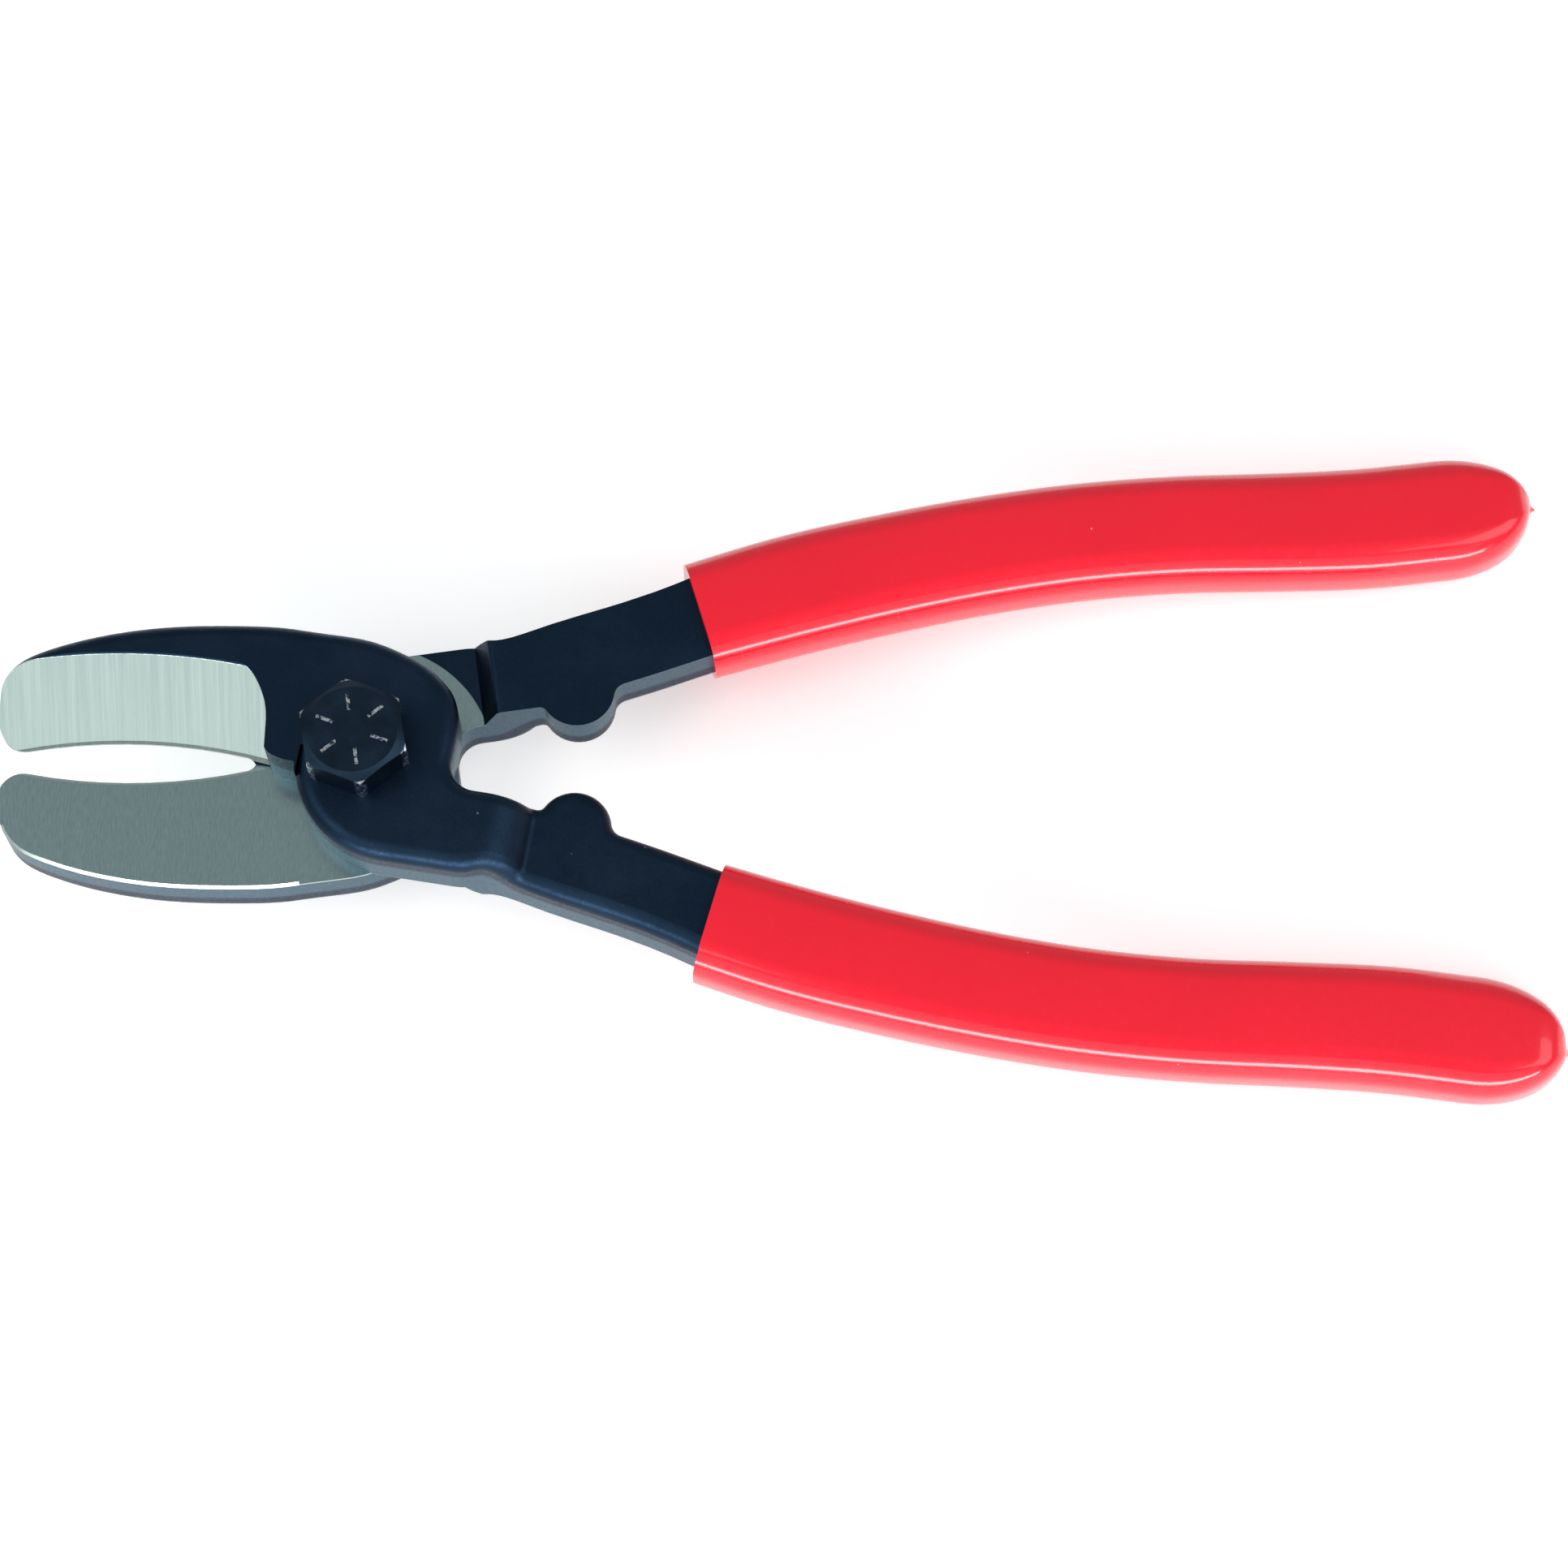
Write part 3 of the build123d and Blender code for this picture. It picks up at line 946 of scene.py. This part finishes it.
@dataclass
class Lever:
    """One forged lever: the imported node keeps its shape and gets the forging's finish."""

    side: Side
    finish: BlackenedForging

    def build(self, nodes: dict[str, bpy.types.Object]) -> list[bpy.types.Object]:
        """Dress the lever's node.

        Args:
            nodes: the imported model's nodes by name.

        Returns:
            The dressed node.
        """
        node = nodes[f"{self.side.value}_lever"]
        dress(node, self.finish.build(self.side))
        return [node]


@dataclass
class DippedGrip:
    """One vinyl grip: a rounded sleeve along the tang, with a soft mouth and a drip at its end."""

    side: Side
    finish: DippedVinyl
    # Stations of the sleeve in the closed pose: x, y and half width.
    stations: tuple[tuple[float, float, float], ...] = (
        (47.0, -14.7, 8.5),
        (65.2, -17.6, 8.9),
        (80.0, -19.1, 8.85),
        (95.0, -20.0, 8.75),
        (109.5, -20.1, 8.7),
        (124.2, -19.2, 8.7),
        (138.6, -17.5, 8.8),
        (151.5, -16.2, 8.95),
        (163.5, -15.8, 8.95),
    )
    half_thick: float = 5.55
    corner: float = 4.4
    end_length: float = 13.3
    mouth_inner: tuple[float, float] = (55.6, -3.0)
    mouth_outer: tuple[float, float] = (52.7, -28.0)
    lip: float = 0.7
    rest_half_angle: float = 8.75
    steps_between: int = 5
    end_steps: int = 16
    end_sweep: float = 84.0
    # The drip's sections: how far past its root, then its width and thickness as parts of the
    # grip's own.
    drip: tuple[tuple[float, float, float], ...] = (
        (0.0, 0.085, 0.24),
        (0.3, 0.06, 0.14),
        (0.6, 0.035, 0.07),
        (0.8, 0.01, 0.02),
    )

    def _path(self) -> list[tuple[Vector, float]]:
        """Smooth the stations into closely spaced centres and half widths.

        Returns:
            Each section's centre and half width, mm.
        """
        knots = [Vector((x, y, half)) for x, y, half in self.stations]
        first = knots[0] * 2 - knots[1]
        last = knots[-1] * 2 - knots[-2]
        padded = [first, *knots, last]
        path = []
        for before, start, end, after in zip(padded, padded[1:], padded[2:], padded[3:]):
            for step in range(self.steps_between):
                t = step / self.steps_between
                point = 0.5 * (
                    2 * start
                    + (end - before) * t
                    + (2 * before - 5 * start + 4 * end - after) * t * t
                    + (3 * start - before - 3 * end + after) * t * t * t
                )
                path.append((Vector((point.x, point.y, 0.0)), point.z))
        path.append((Vector((knots[-1].x, knots[-1].y, 0.0)), knots[-1].z))
        return path

    def _next_section(
        self, centre: Vector, move: Vector, turn: float, wide: float, tall: float
    ) -> None:
        """Extrude the selected end face on to its next place.

        Args:
            centre: where the face's middle is after the move, m.
            move: how far it goes, m.
            turn: how much it turns about Z, radians.
            wide: scale across the sleeve.
            tall: scale through its thickness.
        """
        bpy.ops.mesh.extrude_region_move(TRANSFORM_OT_translate={"value": move})
        if abs(turn) > 1e-6:
            # With no window this operator turns the other way.
            bpy.ops.transform.rotate(value=-turn, orient_axis="Z", center_override=centre)
        bpy.ops.transform.resize(value=(1.0, wide, tall), center_override=centre)

    def build(self, nodes: dict[str, bpy.types.Object]) -> list[bpy.types.Object]:
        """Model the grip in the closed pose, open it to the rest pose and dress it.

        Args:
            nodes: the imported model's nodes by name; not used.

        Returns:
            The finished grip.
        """
        path = self._path()
        start, start_half = path[0]
        heading = math.atan2(path[1][0].y - start.y, path[1][0].x - start.x)
        deselect_all()
        bpy.ops.mesh.primitive_plane_add(size=1.0, location=start * MM)
        piece = bpy.context.object
        bpy.ops.object.mode_set(mode="EDIT")
        # Stand the plane up across the sleeve, at the first station's size.
        spot = start * MM
        bpy.ops.transform.resize(
            value=(2 * self.half_thick * MM, 2 * start_half * MM, 1.0), center_override=spot
        )
        bpy.ops.transform.rotate(value=math.pi / 2, orient_axis="Y", center_override=spot)
        bpy.ops.transform.rotate(value=-heading, orient_axis="Z", center_override=spot)
        bpy.ops.mesh.select_mode(type="VERT")
        bpy.ops.mesh.select_all(action="SELECT")
        bpy.ops.mesh.bevel(offset=self.corner * MM, segments=8, affect="VERTICES")
        select_faces(piece, lambda face: True)
        for index in range(1, len(path)):
            centre, half = path[index]
            before, before_half = path[index - 1]
            ahead = path[min(index + 1, len(path) - 1)][0]
            way = math.atan2(ahead.y - before.y, ahead.x - before.x)
            self._next_section(
                centre * MM, (centre - before) * MM, way - heading, half / before_half, 1.0
            )
            heading = way
        self._end(path[-1], heading)
        self._mouth(piece)
        bpy.ops.object.mode_set(mode="OBJECT")
        over = 0.0 if self.side is Side.FRONT else math.pi
        turn = -self.side.flip * math.radians(self.rest_half_angle)
        piece.matrix_world = (
            Matrix.Rotation(turn, 4, "Z") @ Matrix.Rotation(over, 4, "X") @ piece.matrix_world
        )
        piece = finish_piece(f"{self.side.value}_grip_sleeve", 50.0)
        dress(piece, self.finish.build())
        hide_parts(f"{self.side.value}_grip")
        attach(piece, self.side.value)
        return [piece]

    def _end(self, last: tuple[Vector, float], heading: float) -> None:
        """Close the far end as half an ellipse with rounded edges and a small drip.

        Args:
            last: the last station's centre and half width.
            heading: direction of the sleeve there, radians.
        """
        centre, half = last
        way = Vector((math.cos(heading), math.sin(heading), 0.0))
        crown = self.half_thick - self.corner
        wide_now, tall_now = 1.0, 1.0
        gone = 0.0
        for step in range(1, self.end_steps + 1):
            angle = math.radians(self.end_sweep) * step / self.end_steps
            reach = self.end_length * math.sin(angle)
            wide = math.cos(angle)
            to_tip = self.end_length - reach
            part = max(0.0, 1.0 - to_tip / self.corner)
            tall = (crown + self.corner * math.sqrt(max(0.0, 1 - part * part))) / self.half_thick
            spot = (centre + way * reach) * MM
            self._next_section(
                spot, way * (reach - gone) * MM, 0.0, wide / wide_now, tall / tall_now
            )
            wide_now, tall_now, gone = wide, tall, reach
        # The last of the dip hangs on as a small drip.
        for further, wide, tall in self.drip:
            reach = self.end_length + further
            spot = (centre + way * reach) * MM
            self._next_section(
                spot, way * (reach - gone) * MM, 0.0, wide / wide_now, tall / tall_now
            )
            wide_now, tall_now, gone = wide, tall, reach

    def _mouth(self, piece: bpy.types.Object) -> None:
        """Cut the sleeve to the dip's slanting edge and round its lip.

        Args:
            piece: the sleeve, in edit mode.
        """
        inner = Vector((*self.mouth_inner, 0.0)) * MM
        outer = Vector((*self.mouth_outer, 0.0)) * MM
        along = (inner - outer).normalized()
        inward = Vector((along.y, -along.x, 0.0))
        bpy.ops.mesh.select_all(action="SELECT")
        bpy.ops.mesh.bisect(
            plane_co=inner, plane_no=inward, use_fill=True, clear_inner=True, clear_outer=False
        )
        middle = (inner + outer) / 2
        select_faces(
            piece,
            lambda face: abs((face.calc_center_median() - middle).dot(inward)) < 0.02 * MM
            and abs(face.normal.dot(inward)) > 0.9,
        )
        bpy.ops.mesh.region_to_loop()
        bpy.ops.mesh.bevel(offset=self.lip * MM, segments=4, affect="EDGES")


@dataclass
class PivotHardware:
    """Bolt, washer, lock nut and its insert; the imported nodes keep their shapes."""

    thread_r: float = 4.74
    thread_depth: float = 0.62
    pitch: float = 25.4 / 16
    ridge_high: float = 1.33
    thread_top: float = -17.2
    thread_low: float = -19.3

    def build(self, nodes: dict[str, bpy.types.Object]) -> list[bpy.types.Object]:
        """Dress the hardware and cut the thread that shows below the nut.

        Args:
            nodes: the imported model's nodes by name.

        Returns:
            The dressed nodes and the new thread.
        """
        bolt = BlackenedHardware(
            "blackened_bolt_steel", "#223140", rub_above=14.5, rub_beyond=7.75
        ).build()
        plate = BlackenedHardware(
            "phosphated_washer_and_nut_steel", "#56616a", rub_beyond=8.9, rough=0.42
        ).build()
        dress(nodes["pivot_bolt"], bolt)
        dress(nodes["pivot_washer"], plate)
        dress(nodes["lock_nut"], plate)
        dress(nodes["lock_nut_insert"], MouldedNylon().build())
        thread = self._thread()
        dress(thread, bolt)
        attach(thread, "front")
        return [nodes[n] for n in ("pivot_bolt", "pivot_washer", "lock_nut", "lock_nut_insert")] + [
            thread
        ]

    def _thread(self) -> bpy.types.Object:
        """Model the thread as a small triangle screwed down round the bolt, both ends closed.

        Returns:
            The thread, finished.
        """
        deselect_all()
        # A triangle standing across the bolt's side, one corner outwards: an equilateral one is
        # 1.5 radii deep and 1.73 radii high.
        radius = self.ridge_high / math.sqrt(3)
        squeeze = self.thread_depth / (1.5 * radius)
        spot = Vector((self.thread_r - squeeze * radius, 0.0, self.thread_top)) * MM
        bpy.ops.mesh.primitive_circle_add(
            vertices=3,
            radius=radius * MM,
            fill_type="NGON",
            location=spot,
            rotation=(math.pi / 2, math.pi / 2, 0.0),
        )
        piece = bpy.context.object
        bpy.ops.object.mode_set(mode="EDIT")
        bpy.ops.mesh.select_all(action="SELECT")
        bpy.ops.transform.resize(value=(squeeze, 1.0, 1.0), center_override=spot)
        bpy.ops.object.mode_set(mode="OBJECT")
        bpy.ops.object.transform_apply(location=True, rotation=True, scale=True)
        turns = (self.thread_top - self.thread_low) / self.pitch
        screw = piece.modifiers.new("screw", "SCREW")
        screw.axis = "Z"
        screw.angle = -2 * math.pi * turns
        screw.screw_offset = -self.pitch * turns * MM
        screw.steps = 64
        screw.render_steps = 64
        screw.use_merge_vertices = False
        bpy.ops.object.modifier_apply(modifier="screw")
        bpy.ops.object.mode_set(mode="EDIT")
        bpy.ops.mesh.select_mode(type="EDGE")
        bpy.ops.mesh.select_all(action="DESELECT")
        bpy.ops.mesh.select_non_manifold()
        bpy.ops.mesh.fill_holes(sides=3)
        return finish_piece("bolt_thread", 40.0)


@dataclass(frozen=True)
class SoftLight:
    """A rectangular area light that faces the tool: degrees, metres and watts."""

    name: str
    azimuth: float  # round from -Y towards +X
    rise: float  # above the tool's plane
    far: float
    wide: float
    high: float
    watts: float


@dataclass
class Studio:
    """Paper floor, soft lights, camera: none of it is part of the tool."""

    target: tuple[float, float, float] = (61.483, -2.352, 0.0)
    distance: float = 565.2
    elevation: float = 69.0
    roll: float = 0.434
    frame_width: float = 227.98
    sensor: float = 36.0
    # The tool rests on the bolt's end and on both grips, so the floor leans a little.
    floor_height: float = -20.47
    floor_rise: float = 0.09
    floor_size: float = 6000.0
    world_light: float = 0.45
    lights: tuple[SoftLight, ...] = (
        SoftLight("strip_near", 0.0, 17.5, 1.1, 1.9, 0.2, 16.0),
        SoftLight("softbox_near", 0.0, 44.0, 1.2, 1.6, 0.5, 1.5),
        SoftLight("softbox_left", -75.0, 55.0, 1.2, 0.8, 0.8, 3.6),
        SoftLight("softbox_right", 80.0, 50.0, 1.2, 0.8, 0.8, 3.6),
    )

    def build(self, paper: MattPaper) -> list[bpy.types.Object]:
        """Make the floor, the lights, the world and the camera.

        Args:
            paper: finish of the floor.

        Returns:
            The floor.
        """
        floor = self._floor(paper)
        self._camera()
        self._world()
        for light in self.lights:
            self._light(light)
        bpy.context.scene.view_settings.view_transform = "Standard"
        return [floor]

    def _light(self, light: SoftLight) -> None:
        """Add one light, aimed at the camera's target.

        Args:
            light: its place, size and power.
        """
        lamp = bpy.data.lights.new(light.name, "AREA")
        lamp.shape = "RECTANGLE"
        lamp.size, lamp.size_y = light.wide, light.high
        lamp.energy = light.watts
        holder = bpy.data.objects.new(light.name, lamp)
        bpy.context.scene.collection.objects.link(holder)
        a, e = math.radians(light.azimuth), math.radians(light.rise)
        back = Vector((math.sin(a) * math.cos(e), -math.cos(a) * math.cos(e), math.sin(e)))
        holder.location = Vector(self.target) * MM + back * light.far
        holder.rotation_euler = (-back).to_track_quat("-Z", "Y").to_euler()

    def _floor(self, paper: MattPaper) -> bpy.types.Object:
        """Model the paper sheet, its rim turned down a little.

        Args:
            paper: its finish.

        Returns:
            The floor.
        """
        deselect_all()
        bpy.ops.mesh.primitive_plane_add(size=self.floor_size * MM)
        bpy.ops.object.mode_set(mode="EDIT")
        bpy.ops.mesh.select_all(action="SELECT")
        bpy.ops.mesh.subdivide(number_cuts=4)
        bpy.ops.mesh.region_to_loop()
        bpy.ops.mesh.extrude_region_move(TRANSFORM_OT_translate={"value": (0.0, 0.0, -0.02)})
        bpy.ops.object.mode_set(mode="OBJECT")
        floor = bpy.context.object
        floor.rotation_euler = (0.0, -math.atan(self.floor_rise), 0.0)
        floor.location = (0.0, 0.0, self.floor_height * MM)
        bpy.ops.object.transform_apply(location=True, rotation=True, scale=True)
        floor.name = "paper_floor"
        dress(floor, paper.build())
        return floor

    def _world(self) -> None:
        """Light the room evenly and dimly from all round."""
        world = bpy.data.worlds.new("studio_room")
        world.use_nodes = True
        tree = world.node_tree
        tree.nodes.clear()
        sky = add_node(
            tree,
            "ShaderNodeBackground",
            inputs={"Color": linear("#f4f8fa"), "Strength": self.world_light},
        )
        add_node(tree, "ShaderNodeOutputWorld", inputs={"Surface": sky.outputs[0]})
        bpy.context.scene.world = world

    def _camera(self) -> None:
        """Place the camera above the tool, leaning back from its near side."""
        lens = bpy.data.cameras.new("studio_camera")
        lens.sensor_width = self.sensor
        lens.lens = self.sensor * self.distance / self.frame_width
        lens.clip_start = 0.05
        lens.clip_end = 20.0
        camera = bpy.data.objects.new("studio_camera", lens)
        bpy.context.scene.collection.objects.link(camera)
        e = math.radians(self.elevation)
        back = Vector((0.0, -math.cos(e), math.sin(e)))
        camera.location = (Vector(self.target) + back * self.distance) * MM
        facing = (-back).to_track_quat("-Z", "Y").to_matrix().to_4x4()
        rolled = facing @ Matrix.Rotation(math.radians(self.roll), 4, "Z")
        camera.rotation_euler = rolled.to_euler()
        bpy.context.scene.camera = camera


def main() -> None:
    """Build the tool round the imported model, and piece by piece."""
    logging.basicConfig(level=logging.INFO, format="%(name)s: %(message)s")
    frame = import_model()
    nodes = frame["nodes"]
    Studio().build(MattPaper())
    forged = BlackenedForging()
    vinyl = DippedVinyl()
    for part in (
        Lever(Side.FRONT, forged),
        Lever(Side.REAR, forged),
        DippedGrip(Side.FRONT, vinyl),
        DippedGrip(Side.REAR, vinyl, mouth_inner=(53.6, -3.0), mouth_outer=(50.0, -28.0)),
        PivotHardware(),
    ):
        for piece in part.build(nodes):
            LOG.info("%s: %s, %d faces", type(part).__name__, piece.name, len(piece.data.polygons))
    deselect_all()


if __name__ == "__main__":
    main()
